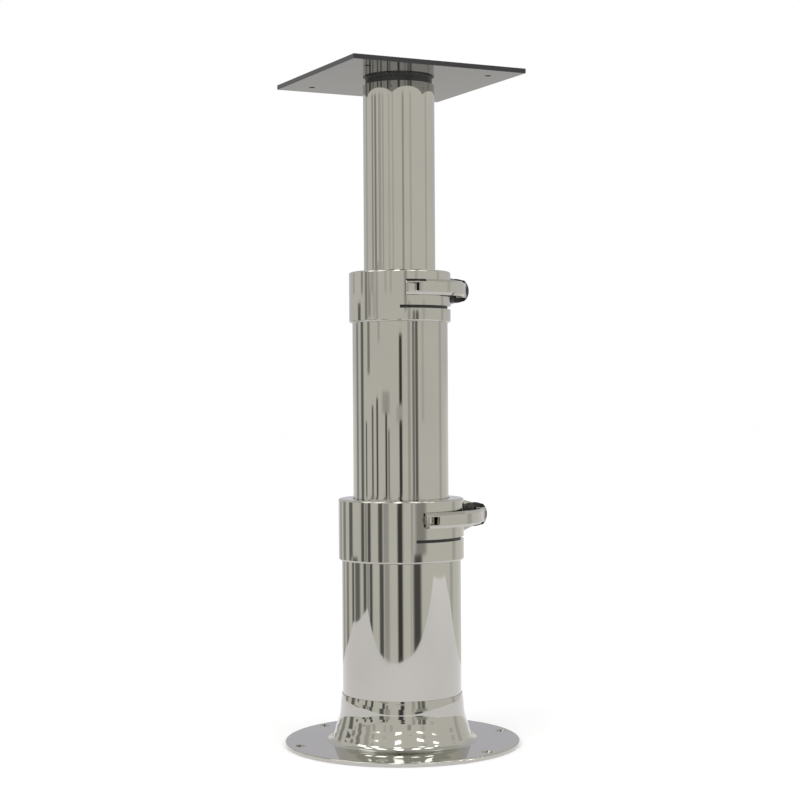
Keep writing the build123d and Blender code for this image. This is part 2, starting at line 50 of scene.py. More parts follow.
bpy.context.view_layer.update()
Triple = tuple[float, float, float]
Value = Union["Wire", float]
EVEN: Triple = (1.0, 1.0, 1.0)


# Shader maths


class Wire:
    """One value in a shader: a socket, whose sums and products add Math nodes."""

    def __init__(self, paint: "Paint", socket: bpy.types.NodeSocket) -> None:
        """Keeps the paint that the value belongs to, and the socket."""
        self.paint = paint
        self.socket = socket

    def math(self, operation: str, *values: Value) -> "Wire":
        """Result of one Math node, from its operation and its inputs in order."""
        return self.paint.node("ShaderNodeMath", {"operation": operation},
                               dict(enumerate(values)))

    def __add__(self, other: Value) -> "Wire":
        """Sum."""
        return self.math("ADD", self, other)

    def __radd__(self, other: float) -> "Wire":
        """Sum with a number in front."""
        return self.math("ADD", other, self)

    def __sub__(self, other: Value) -> "Wire":
        """Difference."""
        return self.math("SUBTRACT", self, other)

    def __rsub__(self, other: float) -> "Wire":
        """A number less this."""
        return self.math("SUBTRACT", other, self)

    def __mul__(self, other: Value) -> "Wire":
        """Product."""
        return self.math("MULTIPLY", self, other)

    def __rmul__(self, other: float) -> "Wire":
        """Product with a number in front."""
        return self.math("MULTIPLY", other, self)

    def sine(self) -> "Wire":
        """Sine of an angle in radians."""
        return self.math("SINE", self)

    def band(self, low: float, high: float) -> "Wire":
        """Soft step from 0 below low to 1 above high."""
        return self.paint.node("ShaderNodeMapRange", {"interpolation_type": "SMOOTHSTEP"},
                               {0: self, 1: low, 2: high})


@dataclass(frozen=True)
class Cloud:
    """Cloudy pattern from 0 to 1: cells per metre, stretch on each axis, fineness."""

    cells: float
    stretch: Triple = EVEN
    detail: float = 2.0
    rough: float = 0.5


class Paint:
    """A material being made: one method adds any node, a few give the usual ones."""

    def __init__(self, name: str, surface: str = "ShaderNodeBsdfPrincipled") -> None:
        """Starts an empty material.

        Args:
            name: the material's name.
            surface: the type of its one shader.
        """
        self.material = bpy.data.materials.new(name)
        self.material.use_nodes = True
        self.tree = self.material.node_tree
        self.tree.nodes.clear()
        self.shader = self.tree.nodes.new(surface)
        output = self.tree.nodes.new("ShaderNodeOutputMaterial")
        self.tree.links.new(self.shader.outputs[0], output.inputs[0])

    def node(self, kind: str, settings: dict[str, Any], values: dict[Any, Any],
             out: Union[int, str] = 0) -> Wire:
        """Adds any node.

        Args:
            kind: the node's type.
            settings: the node's own settings, which are made first.
            values: the values or wires of its sockets, by name or number.
            out: which output to return.

        Returns:
            That output.
        """
        node = self.tree.nodes.new(kind)
        for name, value in settings.items():
            setattr(node, name, value)
        for name, value in values.items():
            self.put(node.inputs[name], value)
        return Wire(self, node.outputs[out])

    def put(self, socket: bpy.types.NodeSocket, value: Any) -> None:
        """Gives a socket its value.

        Args:
            socket: the socket.
            value: a wire, a number, or three numbers for a colour or a vector.
        """
        if isinstance(value, Wire):
            self.tree.links.new(value.socket, socket)
        elif isinstance(value, tuple) and socket.type == "RGBA":
            socket.default_value = (*value, 1.0)
        else:
            socket.default_value = value

    def set(self, **values: Any) -> None:
        """Sets sockets of the shader, with _ for a space in the name."""
        for name, value in values.items():
            self.put(self.shader.inputs[name.replace("_", " ")], value)

    def spot(self) -> Wire:
        """Object coordinates in metres."""
        return self.node("ShaderNodeTexCoord", {}, {}, "Object")

    def height(self) -> Wire:
        """Height above the floor in metres."""
        return self.node("ShaderNodeSeparateXYZ", {}, {0: self.spot()}, "Z")

    def noise(self, cloud: Cloud) -> Wire:
        """Cloudy pattern from 0 to 1."""
        place = self.node("ShaderNodeMapping", {},
                          {"Vector": self.spot(), "Scale": cloud.stretch})
        return self.node("ShaderNodeTexNoise", {}, {
            "Vector": place, "Scale": cloud.cells, "Detail": cloud.detail,
            "Roughness": cloud.rough})

    def mix(self, share: Wire, low: Triple, high: Triple) -> Wire:
        """Colour between low and high."""
        return self.node("ShaderNodeMix", {"data_type": "RGBA"},
                         {"Factor": share, 6: low, 7: high}, 2)

    def bump(self, height: Wire, distance: float) -> Wire:
        """Relief from a height, where 1 stands a distance in metres proud."""
        return self.node("ShaderNodeBump", {}, {
            "Height": height, "Distance": distance, "Strength": 1.0})


# Finishes


@dataclass(frozen=True)
class Polished:
    """Buffed metal: a mirror with faint drawing lines, haze and slight waves.

    The tint dulls a little in patches. Haze and lines are what smears and drawing
    lines add to the roughness, and wave is the depth of the waves in metres.
    """

    name: str
    tint: Triple = (0.52, 0.516, 0.466)
    rough: float = 0.03
    haze: float = 0.05
    lines: float = 0.012
    wave: float = 0.00002
    stretch: Triple = (1.0, 1.0, 0.12)
    wave_cells: float = 16.0
    patches: Cloud = Cloud(14.0, detail=3.0)
    patch_band: tuple[float, float] = (0.35, 0.7)
    patch_shade: float = 0.96
    smears: Cloud = Cloud(38.0, (1.0, 1.0, 0.3), 4.0, 0.6)
    smear_band: tuple[float, float] = (0.55, 0.85)
    drawing: Cloud = Cloud(900.0, (1.0, 1.0, 0.02))

    def make(self) -> bpy.types.Material:
        """Makes the finish.

        Returns:
            The material.
        """
        paint = Paint(self.name)
        patch = paint.noise(self.patches).band(*self.patch_band)
        smear = paint.noise(self.smears).band(*self.smear_band)
        darker = tuple(part * self.patch_shade for part in self.tint)
        paint.set(
            Base_Color=paint.mix(patch, self.tint, darker),
            Metallic=1.0,
            Roughness=self.rough + self.haze * smear + self.lines * paint.noise(self.drawing),
        )
        waves = paint.noise(Cloud(self.wave_cells, self.stretch, 1.0))
        paint.set(Normal=paint.bump(self.relief(paint, waves), self.wave))
        return paint.material

    def relief(self, paint: Paint, waves: Wire) -> Wire:
        """Height of the relief as a multiple of the wave's depth: the waves alone."""
        return waves


@dataclass(frozen=True)
class Cast(Polished):
    """Buffed casting, with shallow waves left by the wheel on the sloping part.

    The wheel's waves are a sine of the height, bent by a slow noise and uneven in
    depth by another, between two heights. Pitch, bend, heights and fade are metres,
    and the depth is a multiple of the wave's.
    """

    buff_pitch: float = 0.0088
    buff_depth: float = 2.4
    buff_bend: float = 0.016
    buff_low: float = 0.004
    buff_high: float = 0.027
    buff_fade: float = 0.005
    bending: Cloud = Cloud(30.0, (1.0, 1.0, 0.4), 1.0)
    uneven: Cloud = Cloud(45.0, detail=1.0)

    def relief(self, paint: Paint, waves: Wire) -> Wire:
        """Adds the wheel's waves to the slow ones.

        Args:
            paint: the material being made.
            waves: the slow waves.

        Returns:
            Height of the relief as a multiple of the wave's depth.
        """
        height = paint.height()
        bent = height + self.buff_bend * (paint.noise(self.bending) - 0.5)
        turns = bent * (2 * math.pi / self.buff_pitch)
        mask = height.band(self.buff_low, self.buff_low + self.buff_fade) * (
            1.0 - height.band(self.buff_high - self.buff_fade, self.buff_high))
        return waves + self.buff_depth * mask * paint.noise(self.uneven) * turns.sine()


@dataclass(frozen=True)
class Coated:
    """Paint or moulded plastic over the whole piece.

    Grain is in cells per metre and its depth in metres. Spots is how far the
    roughness wanders. In patches the tint is lifted by a factor and a least amount.
    """

    name: str
    tint: Triple
    rough: float
    grain: float
    grain_depth: float
    spots: float = 0.06
    shine: float = 0.5
    patches: Cloud = Cloud(60.0, detail=3.0)
    lift: float = 1.25
    least_lift: float = 0.004

    def make(self) -> bpy.types.Material:
        """Makes the finish.

        Returns:
            The material.
        """
        paint = Paint(self.name)
        patch = paint.noise(self.patches)
        lighter = tuple(part * self.lift + self.least_lift for part in self.tint)
        paint.set(
            Base_Color=paint.mix(patch, self.tint, lighter),
            Metallic=0.0,
            Roughness=self.rough + self.spots * (patch - 0.5),
            Specular_IOR_Level=self.shine,
            Normal=paint.bump(paint.noise(Cloud(self.grain)), self.grain_depth),
        )
        return paint.material


class Finish(Enum):
    """The finishes of the pedestal, each with the record's material slot first."""

    FOOT = ("foot_aluminium", Cast("foot_polish", wave=0.00004))
    TUBE = ("tube_aluminium", Polished("tube_polish"))
    COLLAR = ("collar_aluminium", Polished("collar_polish", wave=0.00003, stretch=EVEN))
    LEVER = ("lever_aluminium", Polished("lever_polish", rough=0.06, wave=0.000007,
                                         stretch=EVEN))
    # The spigot is tinted near black though its slot is aluminium, so that its neck shows as
    # a dark ring under the plate
    SPIGOT = ("spigot_aluminium", Polished("spigot_turned", tint=(0.11, 0.11, 0.11),
                                           rough=0.32, haze=0.03, wave=0.000002,
                                           stretch=(0.1, 0.1, 8.0)))
    STEEL = ("stainless", Polished("stainless_steel", tint=(0.5, 0.49, 0.47), rough=0.12))
    NYLON = ("black_nylon", Coated("black_nylon", tint=(0.012, 0.012, 0.013), rough=0.42,
                                   grain=1800.0, grain_depth=0.00002))
    GUIDE = ("guide_plastic", Coated("guide_plastic", tint=(0.02, 0.02, 0.021), rough=0.5,
                                     grain=1500.0, grain_depth=0.00002))
    PLATE = ("black_plate", Coated("black_gloss", tint=(0.018, 0.018, 0.02), rough=0.06,
                                   grain=220.0, grain_depth=0.000004, spots=0.03,
                                   shine=0.44))

    @property
    def slot(self) -> str:
        """The material slot."""
        return self.value[0]

    @property
    def look(self) -> Union[Polished, Coated]:
        """What the finish looks like."""
        return self.value[1]


# Studio


@dataclass(frozen=True)
class Flag:
    """A darker card in front of the wall, between two azimuths and two heights.

    Share is what is left of the wall's tone in the middle.
    """

    start: float
    end: float
    share: float
    low: float
    high: float


@dataclass(frozen=True)
class Panel:
    """A lit card on a sphere round the pedestal's foot.

    Azimuth and elevation are its middle's, and wide and tall its size, in degrees.
    Level is the brightness in the middle.
    """

    azimuth: float
    elevation: float
    wide: float
    tall: float
    radius: float
    level: float


@dataclass(frozen=True)
class Lamp:
    """A soft square lamp.

    The spot is right, back and up from the camera's side, size the side of the
    square, and the power is in watts.
    """

    name: str
    spot: Triple
    size: float
    power: float


@dataclass
class Camera:
    """Camera as fitted to the photograph.

    Turn is the camera's side, as an angle about Z. Angles are degrees, and lengths
    are metres unless the name says otherwise.
    """

    turn: float
    back: float = 1.8499
    height: float = 0.3736
    focal_px: float = 1732.25
    frame_px: float = 800.0
    sensor: float = 36.0
    pitch_down: float = 0.253
    roll: float = -0.349
    shift_px: float = -0.45
    nearest: float = 0.05
    farthest: float = 50.0

    def build(self) -> None:
        """Places the camera at the photograph's viewing angle."""
        data = bpy.data.cameras.new("view_camera")
        camera = bpy.data.objects.new("view_camera", data)
        bpy.context.scene.collection.objects.link(camera)
        data.sensor_width = self.sensor
        data.lens = self.focal_px * self.sensor / self.frame_px
        data.shift_x = self.shift_px / self.frame_px
        data.clip_start = self.nearest
        data.clip_end = self.farthest
        turn = Matrix.Rotation(math.radians(self.turn), 4, "Z")
        place = Matrix.Translation(Vector((0.0, -self.back, self.height)))
        tilt = Matrix.Rotation(math.radians(90 - self.pitch_down), 4, "X")
        roll = Matrix.Rotation(math.radians(self.roll), 4, "Z")
        camera.matrix_world = turn @ place @ tilt @ roll
        bpy.context.scene.camera = camera


@dataclass
class Cards:
    """Lit cards that show only in reflections and cast no shadow.

    Their places are azimuths round the pedestal from the camera's side, positive to
    the right and in degrees, with heights and radii in metres.
    """

    turn: float
    glow: bpy.types.Material

    def card(self, name: str, points: np.ndarray, tones: np.ndarray) -> None:
        """Adds a card.

        Args:
            name: the card's name.
            points: rows by columns by three, from the camera's side.
            tones: the linear colour at each of the points.
        """
        card = grid_piece(name, points, self.turn)
        layer = card.data.attributes.new("tone", "FLOAT_COLOR", "POINT")
        flat = np.concatenate([tones, np.ones(tones.shape[:2] + (1,))], -1)
        layer.data.foreach_set("color", flat.astype(np.float32).ravel())
        card.data.materials.append(self.glow)
        card.visible_camera = False
        card.visible_diffuse = False
        card.visible_shadow = False
        card.visible_transmission = False

    def standing(self, azimuth: np.ndarray, height: np.ndarray,
                 radius: Union[float, np.ndarray]) -> np.ndarray:
        """Points at an azimuth from the camera's side, a height and a radius."""
        angle = np.radians(azimuth)
        return np.stack([radius * np.sin(angle), -radius * np.cos(angle), height], -1)


@dataclass
class Room(Cards):
    """Round wall with darker flags in front of it, and a ceiling with lit panels.

    The wall's tone turns to the rear tone between two azimuths, and between two
    heights. Each flag stands a step nearer than the one before, so that it covers it
    where they overlap. Panels hang before the ceiling from an elevation up, and
    before the wall below it.
    """

    wall_radius: float = 3.0
    wall_low: float = -1.4
    wall_high: float = 2.4
    wall_steps: int = 72
    disc_steps: int = 48
    disc_hole: float = 0.001
    wall_tone: Triple = (0.800, 0.785, 0.752)
    rear_tone: Triple = (0.590, 0.580, 0.625)
    ceiling_tone: Triple = (0.60, 0.59, 0.565)
    ground_tone: Triple = (0.225, 0.22, 0.205)
    rear_from: float = 112.0
    rear_full: float = 172.0
    rear_low: float = 0.30
    rear_high: float = 0.46

    flag_radius: float = 2.6
    flag_step: float = 0.002
    flag_steps: int = 12
    flag_edge: float = 0.3
    flags: tuple[Flag, ...] = (
        # From below the floor up
        Flag(-134.0, -119.0, 0.46, -1.4, 0.55),
        Flag(-112.0, -97.0, 0.24, -1.4, 0.60),
        Flag(-74.0, -67.0, 0.24, -1.4, 0.34),
        Flag(-61.0, -54.0, 0.16, -1.4, 0.36),
        Flag(-38.0, -31.0, 0.14, -1.4, 0.36),
        Flag(-31.0, -25.0, 0.42, -1.4, 0.28),
        Flag(-4.5, 5.5, 0.08, -1.4, 0.52),
        Flag(16.0, 25.0, 0.68, -1.4, 0.60),
        Flag(104.0, 118.0, 0.76, -1.4, 0.62),
        # Low, for the outer tube and the lower collar
        Flag(-156.0, -136.0, 0.64, -0.60, 0.11),
        Flag(-103.0, -83.0, 0.26, -0.60, -0.04),
        Flag(-82.0, -53.0, 0.56, -0.60, 0.11),
        Flag(-79.0, -69.0, 0.20, -0.60, 0.11),
        Flag(-64.5, -55.5, 0.18, -0.60, 0.11),
        Flag(-36.0, -20.0, 0.62, -0.60, 0.11),
        Flag(-44.0, -32.0, 0.18, -0.60, 0.11),
        Flag(-9.0, 4.5, 0.09, -0.60, 0.11),
        Flag(19.0, 41.0, 0.13, -0.60, -0.03),
        Flag(21.0, 50.0, 0.48, -0.03, 0.11),
        # At the middle, for the middle tube and the upper collar
        Flag(-93.0, -87.0, 0.20, 0.11, 0.30),
        Flag(-48.0, -22.0, 0.66, 0.322, 0.376),
        Flag(-13.0, 8.0, 0.76, 0.300, 0.340),
        Flag(27.0, 36.0, 0.36, 0.11, 0.58),
        Flag(34.0, 44.0, 0.24, 0.11, 0.58),
        Flag(50.0, 60.0, 0.84, 0.30, 0.60),
        Flag(-82.0, -66.0, 0.58, 0.56, 0.70),
        Flag(-66.0, -47.0, 0.80, 0.56, 0.70),
        # High, for the inner tube
        Flag(-87.0, -76.0, 0.42, 0.42, 1.12),
        Flag(-56.0, -49.0, 0.72, 0.50, 1.12),
        Flag(8.0, 17.0, 0.58, 0.58, 1.12),
        Flag(-134.0, -122.0, 0.74, 0.62, 1.12),
        Flag(-99.0, -90.0, 0.50, 0.62, 1.12),
        Flag(-71.0, -58.0, 0.70, 0.62, 1.12),
        Flag(-36.0, -28.0, 0.84, 0.62, 1.12),
        Flag(-23.0, -17.0, 0.80, 0.62, 1.12),
        Flag(32.0, 42.0, 0.82, 0.62, 1.12),
        Flag(90.0, 101.0, 0.80, 0.62, 1.12),
    )

    panel_steps: int = 6
    panel_edge: float = 0.2
    ceiling_from: float = 38.0
    panels: tuple[Panel, ...] = (
        Panel(-72.0, 30.0, 13.0, 11.0, 3.2, 4.5),
        Panel(-49.0, 32.0, 15.0, 11.0, 3.2, 4.5),
        Panel(-8.0, 34.0, 13.0, 13.0, 3.2, 4.5),
        Panel(33.0, 33.0, 15.0, 11.0, 3.2, 4.5),
        Panel(62.0, 31.0, 12.0, 11.0, 3.2, 4.5),
        Panel(-75.0, 50.0, 18.0, 12.0, 2.2, 4.5),
        Panel(-50.0, 57.0, 26.0, 15.0, 2.2, 4.5),
        Panel(-8.0, 62.0, 24.0, 30.0, 2.2, 4.5),
        Panel(31.0, 57.0, 24.0, 15.0, 2.2, 4.5),
        Panel(57.0, 51.0, 18.0, 12.0, 2.2, 4.5),
        Panel(150.0, 60.0, 30.0, 14.0, 2.2, 1.6),
        Panel(-130.0, 60.0, 30.0, 14.0, 2.2, 1.6),
    )

    def wall_at(self, azimuth: np.ndarray, height: np.ndarray) -> np.ndarray:
        """Tone of the wall: warm and pale in front, and cooler high up at the rear.

        Args:
            azimuth: azimuths from the camera's side.
            height: height at each of them.

        Returns:
            The linear colour at each of them.
        """
        turn = (np.abs(azimuth) - self.rear_from) / (self.rear_full - self.rear_from)
        rise = (height - self.rear_low) / (self.rear_high - self.rear_low)
        share = (np.clip(turn, 0.0, 1.0) * np.clip(rise, 0.0, 1.0))[..., None]
        return (1 - share) * np.array(self.wall_tone) + share * np.array(self.rear_tone)

    def wall(self) -> None:
        """Stands the round wall: azimuth along it, height up it."""
        heights = np.array([self.wall_low, self.rear_low, self.rear_high, self.wall_high])
        azimuths = np.linspace(-180.0, 180.0, self.wall_steps + 1)
        azimuth, height = np.meshgrid(azimuths, heights)
        self.card("wall", self.standing(azimuth, height, self.wall_radius),
                  self.wall_at(azimuth, height))

    def stand_flag(self, number: int, flag: Flag) -> None:
        """Stands a flag in front of the wall, with soft upright edges.

        Across it the tone is the wall's, times a share that a smooth step brings in
        over the edges.

        Args:
            number: the flag's place in the list.
            flag: its edges and its share.
        """
        across = np.linspace(0.0, 1.0, self.flag_steps + 1)
        step = np.clip(np.minimum(across, 1 - across) / self.flag_edge, 0.0, 1.0)
        shade = 1 - (1 - flag.share) * step * step * (3 - 2 * step)
        azimuth, height = np.meshgrid(flag.start + (flag.end - flag.start) * across,
                                      np.array([flag.low, flag.high]))
        tones = self.wall_at(azimuth, height) * shade[None, :, None]
        radius = self.flag_radius - self.flag_step * number
        self.card(f"flag_{number}", self.standing(azimuth, height, radius), tones)

    def hang_panel(self, number: int, panel: Panel) -> None:
        """Hangs a lit panel.

        Its tone fades from the level in the middle to that of the wall or the ceiling
        at the edge.

        Args:
            number: the panel's place in the list.
            panel: its place, size and level.
        """
        steps = np.linspace(-0.5, 0.5, self.panel_steps + 1)
        side, rise = np.meshgrid(panel.azimuth + panel.wide * steps,
                                 panel.elevation + panel.tall * steps)
        angle, up = np.radians(side), np.radians(rise)
        points = panel.radius * np.stack(
            [np.sin(angle) * np.cos(up), -np.cos(angle) * np.cos(up), np.sin(up)], -1)
        edge = np.clip((0.5 - np.abs(steps)) / self.panel_edge, 0.0, 1.0)
        share = (edge[:, None] * edge[None, :])[..., None]
        on_wall = panel.elevation < self.ceiling_from
        behind = self.wall_tone if on_wall else self.ceiling_tone
        tones = share * panel.level + (1 - share) * np.array(behind)
        self.card(f"panel_{number}", points, tones)

    def disc(self, name: str, height: float, tone: Triple) -> None:
        """Lays a flat round card: angle round it, distance from the middle out.

        Args:
            name: the card's name.
            height: its height.
            tone: its linear colour.
        """
        azimuth, radius = np.meshgrid(np.linspace(0.0, 360.0, self.disc_steps + 1),
                                      np.array([self.disc_hole, self.wall_radius]))
        points = self.standing(azimuth, np.full_like(azimuth, height), radius)
        self.card(name, points, np.broadcast_to(np.array(tone), points.shape))

    def build(self) -> None:
        """Sets up the wall with darker flags in front, and a ceiling with panels."""
        self.wall()
        for number, flag in enumerate(self.flags):
            self.stand_flag(number, flag)
        for number, panel in enumerate(self.panels):
            self.hang_panel(number, panel)
        self.disc("ceiling", self.wall_high, self.ceiling_tone)
        self.disc("ground", self.wall_low, self.ground_tone)


@dataclass
class Floor(Cards):
    """White floor, and a glowing sheet that the reflections show in its place: a painted
    reflection of the floor, at listed brightness levels and without its shadow.
    """

    floor_half: float = 14.0
    floor_drop: float = 0.0006
    floor_white: Triple = (1.0, 1.0, 1.0)
    floor_shade: Triple = (0.99, 0.99, 0.99)
    floor_rough: float = 0.9
    floor_patches: Cloud = Cloud(3.0)
    sheet_drop: float = 0.0003
    sheet_tone: Triple = (0.985, 0.960, 1.010)
    # Painted brightness of the sheet's glow from one end of its front to the other: a painted
    # reflection of the lit floor
    sheet_glow_levels: tuple[float, ...] = (1.02, 1.00, 0.97, 1.02, 0.98, 1.04, 1.10)
    sheet_front: tuple[tuple[float, float], ...] = (
        (-1.16, -0.49), (-0.95, -0.51), (-0.53, -0.558), (0.0, -0.68),
        (0.61, -0.725), (1.20, -0.775), (1.58, -0.81))
    sheet_rear: tuple[tuple[float, float], ...] = (
        (-1.15, -0.32), (-1.01, 0.284), (-0.50, 0.518), (0.0, 0.52),
        (0.689, 0.444), (1.27, 0.357), (1.77, 0.03))

    def floor(self) -> None:
        """Lays the white floor, which the reflections don't show."""
        paint = Paint("white_floor")
        cloud = paint.noise(self.floor_patches)
        paint.set(Base_Color=paint.mix(cloud, self.floor_white, self.floor_shade),
                  Roughness=self.floor_rough, Specular_IOR_Level=0.0)
        far, low = self.floor_half, -self.floor_drop
        corners = np.array([[[-far, -far, low], [far, -far, low]],
                            [[-far, far, low], [far, far, low]]])
        floor = grid_piece("floor", corners)
        floor.data.materials.append(paint.material)
        floor.visible_glossy = False

    def sheet(self) -> None:
        """Lays the glowing sheet that the reflections show in place of the floor: a painted
        reflection, whose brightness along its front is painted by the listed levels.
        """
        both = np.array([self.sheet_front, self.sheet_rear])
        low = np.full(both.shape[:2] + (1,), -self.sheet_drop)
        points = np.concatenate([both, low], -1)
        tones = np.array(self.sheet_glow_levels)[None, :, None] * np.array(self.sheet_tone)
        self.card("floor_sheet", points, np.broadcast_to(tones, points.shape))

    def build(self) -> None:
        """Lays the floor and the sheet."""
        self.floor()
        self.sheet()


@dataclass
class Studio:
    """Plain pale studio round the pedestal, turned to the camera's side."""

    turn: float = -26.5
    lamps: tuple[Lamp, ...] = (
        Lamp("key_lamp", (-1.6, -1.8, 2.2), 1.6, 14.0),
        Lamp("fill_lamp", (1.8, -1.4, 1.8), 1.8, 8.0),
    )
    lamp_aim: Triple = (0.0, 0.0, 0.35)

    def world(self) -> None:
        """Sets plain white all round, for the camera, the light and the reflections."""
        world = bpy.data.worlds.new("studio_world")
        bpy.context.scene.world = world
        world.use_nodes = True
        ground = world.node_tree.nodes["Background"]
        ground.inputs["Color"].default_value = (1.0, 1.0, 1.0, 1.0)
        ground.inputs["Strength"].default_value = 1.0

    def card_glow(self) -> bpy.types.Material:
        """Material of the lit cards, whose tone is kept in the mesh."""
        paint = Paint("card_glow", "ShaderNodeEmission")
        paint.set(Color=paint.node("ShaderNodeAttribute", {"attribute_name": "tone"}, {},
                                   "Color"))
        return paint.material

    def hang_lamp(self, lamp: Lamp) -> None:
        """Hangs a lamp that points at the middle of the pedestal.

        Args:
            lamp: the lamp's name, spot, size and power.
        """
        data = bpy.data.lights.new(lamp.name, "AREA")
        data.size = lamp.size
        data.energy = lamp.power
        hung = bpy.data.objects.new(lamp.name, data)
        bpy.context.scene.collection.objects.link(hung)
        place = Matrix.Rotation(math.radians(self.turn), 4, "Z") @ Vector(lamp.spot)
        aim = (Vector(self.lamp_aim) - place).to_track_quat("-Z", "Y")
        hung.matrix_world = Matrix.Translation(place) @ aim.to_matrix().to_4x4()
        hung.visible_glossy = False

    def build(self) -> None:
        """Sets up the whole studio."""
        Camera(self.turn).build()
        self.world()
        glow = self.card_glow()
        Room(self.turn, glow).build()
        Floor(self.turn, glow).build()
        for lamp in self.lamps:
            self.hang_lamp(lamp)
        log.info("studio ready")


# Meshes


def grid_piece(name: str, points: np.ndarray, turn: float = 0.0) -> bpy.types.Object:
    """Makes a mesh of a grid of points.

    Args:
        name: the object's name.
        points: rows by columns by three, in metres.
        turn: angle in degrees by which the points are turned about Z.

    Returns:
        The object, with each face joining four neighbours on the grid.
    """
    rows, columns = points.shape[:2]
    index = np.arange(rows * columns).reshape(rows, columns)
    quads = np.stack([index[:-1, :-1], index[:-1, 1:], index[1:, 1:], index[1:, :-1]], -1)
    angle = math.radians(turn)
    spin = np.array([[math.cos(angle), math.sin(angle), 0.0],
                     [-math.sin(angle), math.cos(angle), 0.0], [0.0, 0.0, 1.0]])
    mesh = bpy.data.meshes.new(name)
    mesh.from_pydata((points.reshape(-1, 3) @ spin).tolist(), [],
                     quads.reshape(-1, 4).tolist())
    return placed(name, mesh)


def ring_piece(name: str, points: np.ndarray) -> bpy.types.Object:
    """Makes a mesh of a grid of points that closes on itself both ways.

    Args:
        name: the object's name.
        points: rows by columns by three, in metres, where the rows go round the
            section and the columns round the ring.

    Returns:
        The object.
    """
    rows, columns = points.shape[:2]
    index = np.arange(rows * columns).reshape(rows, columns)
    right, up = np.roll(index, -1, 1), np.roll(index, -1, 0)
    quads = np.stack([index, right, np.roll(right, -1, 0), up], -1)
    mesh = bpy.data.meshes.new(name)
    mesh.from_pydata(points.reshape(-1, 3).tolist(), [], quads.reshape(-1, 4).tolist())
    smooth(mesh)
    return placed(name, mesh)


def placed(name: str, mesh: bpy.types.Mesh) -> bpy.types.Object:
    """Puts a mesh in the scene as an object at the origin.

    Args:
        name: the object's name.
        mesh: the mesh.

    Returns:
        The object.
    """
    piece = bpy.data.objects.new(name, mesh)
    bpy.context.scene.collection.objects.link(piece)
    return piece


def smooth(mesh: bpy.types.Mesh) -> None:
    """Shades every face of a mesh smooth."""
    mesh.polygons.foreach_set("use_smooth", np.ones(len(mesh.polygons), dtype=bool))


def read(rows: Any, name: str, width: int, kind: type = float) -> np.ndarray:
    """Reads one property of a mesh's vertices, corners or faces.

    Args:
        rows: the vertices, corners or faces.
        name: the property's name.
        width: how many numbers it has.
        kind: the type of the numbers.

    Returns:
        A row of that width for each of them.
    """
    values = np.zeros(len(rows) * width, kind)
    rows.foreach_get(name, values)
    return values.reshape(-1, width)


def outward(points: np.ndarray, centre: np.ndarray) -> np.ndarray:
    """Direction of each point from an upright axis, level and one long."""
    away = points[:, :2] - centre
    return away / np.linalg.norm(away, axis=1, keepdims=True)


# The pedestal


@dataclass
class SubAssembly:
    """A group of pieces that are fitted together, with the finish of each."""

    name: str
    finishes: dict[str, bpy.types.Material]
    nodes: tuple[str, ...] = ()

    def dress(self) -> None:
        """Gives every piece the finish of its material slot."""
        for name in self.nodes:
            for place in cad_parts[name].material_slots:
                place.material = self.finishes[place.material.name.split(".")[0]]
            log.info("%s: %s dressed", self.name, name)

    def fit(self, piece: bpy.types.Object, body: str, slot: str) -> None:
        """Fixes a new piece to a moving body and gives it a finish.

        Args:
            piece: the new piece, at its place at rest.
            body: the body that it moves with.
            slot: the material slot of its finish.
        """
        piece.data.materials.clear()
        piece.data.materials.append(self.finishes[slot])
        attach(piece, body)
        log.info("%s: %s made", self.name, piece.name)

    def build(self) -> None:
        """Makes and dresses the pieces."""
        self.dress()


